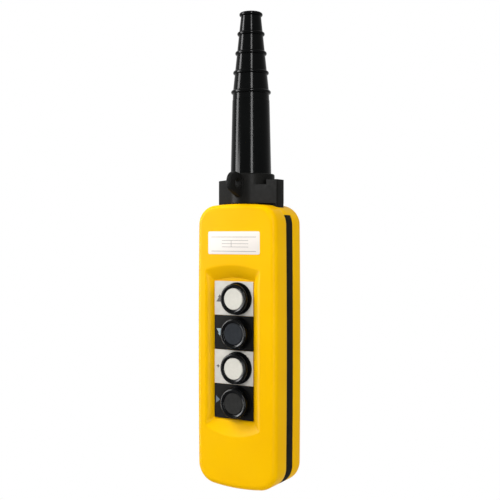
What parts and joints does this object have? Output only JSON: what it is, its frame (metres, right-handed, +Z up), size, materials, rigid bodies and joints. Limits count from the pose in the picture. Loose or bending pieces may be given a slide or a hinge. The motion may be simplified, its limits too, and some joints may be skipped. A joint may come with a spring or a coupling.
{
  "type": "crane pendant push button station",
  "caption": "Hanging hoist control: yellow two-shell housing with a recessed column of guarded push buttons, collar with suspension lug and ribbed cable boot.",
  "frame": {"origin": "centre of the cable exit at the top of the cable boot; the station hangs below it", "axes": "+Z up along the boot's axis, the buttons face -Y, +X to the right as seen by the operator"},
  "size_m": [0.0802, 0.0612, 0.4165],
  "materials": {
    "housing_yellow": "satin moulded yellow plastic",
    "seal_rubber": "matt black rubber",
    "collar_plastic": "satin dark grey plastic",
    "boot_rubber": "smooth black rubber with soft highlights",
    "plate_white": "white laminate",
    "plate_black": "black laminate",
    "bezel_black": "glossy black moulding",
    "cap_white": "satin white moulding",
    "cap_slate": "satin slate grey moulding",
    "cap_dark": "satin dark grey moulding",
    "plunger_nylon": "natural nylon",
    "contact_grey": "matt grey moulding",
    "zinc_steel": "zinc-plated steel"
  },
  "bodies": {
    "housing": {"front_shell": "housing_yellow", "rear_shell": "housing_yellow", "shell_seal": "seal_rubber", "cable_collar": "collar_plastic", "cable_boot": "boot_rubber", "legend_plate_1": "plate_white", "button_bezel_1": "bezel_black", "return_spring_1": "zinc_steel", "mounting_nut_1": "contact_grey", "contact_block_1": "contact_grey", "terminal_screw_1_left": "zinc_steel", "terminal_screw_1_right": "zinc_steel", "legend_plate_2": "plate_black", "button_bezel_2": "bezel_black", "return_spring_2": "zinc_steel", "mounting_nut_2": "contact_grey", "contact_block_2": "contact_grey", "terminal_screw_2_left": "zinc_steel", "terminal_screw_2_right": "zinc_steel", "legend_plate_3": "plate_white", "button_bezel_3": "bezel_black", "return_spring_3": "zinc_steel", "mounting_nut_3": "contact_grey", "contact_block_3": "contact_grey", "terminal_screw_3_left": "zinc_steel", "terminal_screw_3_right": "zinc_steel", "legend_plate_4": "plate_black", "button_bezel_4": "bezel_black", "return_spring_4": "zinc_steel", "mounting_nut_4": "contact_grey", "contact_block_4": "contact_grey", "terminal_screw_4_left": "zinc_steel", "terminal_screw_4_right": "zinc_steel", "cable_clamp": "collar_plastic", "clamp_screw_1": "zinc_steel", "clamp_screw_2": "zinc_steel", "shell_screw_1": "zinc_steel", "shell_screw_2": "zinc_steel", "shell_screw_3": "zinc_steel", "shell_screw_4": "zinc_steel", "shell_screw_5": "zinc_steel", "shell_screw_6": "zinc_steel"},
    "button_1": {"button_cap_1": "cap_white", "button_plunger_1": "plunger_nylon"},
    "button_2": {"button_cap_2": "cap_slate", "button_plunger_2": "plunger_nylon"},
    "button_3": {"button_cap_3": "cap_white", "button_plunger_3": "plunger_nylon"},
    "button_4": {"button_cap_4": "cap_dark", "button_plunger_4": "plunger_nylon"}
  },
  "joints": [
    {"name": "button_1_press", "type": "slide", "parent": "housing", "child": "button_1", "axis": [0, 1, 0], "range_m": [0, 0.0043], "stiffness_N_per_m": 900, "springref_m": -0.002, "deforming": ["return_spring_1"]},
    {"name": "button_2_press", "type": "slide", "parent": "housing", "child": "button_2", "axis": [0, 1, 0], "range_m": [0, 0.0043], "stiffness_N_per_m": 900, "springref_m": -0.002, "deforming": ["return_spring_2"]},
    {"name": "button_3_press", "type": "slide", "parent": "housing", "child": "button_3", "axis": [0, 1, 0], "range_m": [0, 0.0043], "stiffness_N_per_m": 900, "springref_m": -0.002, "deforming": ["return_spring_3"]},
    {"name": "button_4_press", "type": "slide", "parent": "housing", "child": "button_4", "axis": [0, 1, 0], "range_m": [0, 0.0043], "stiffness_N_per_m": 900, "springref_m": -0.002, "deforming": ["return_spring_4"]}
  ]
}
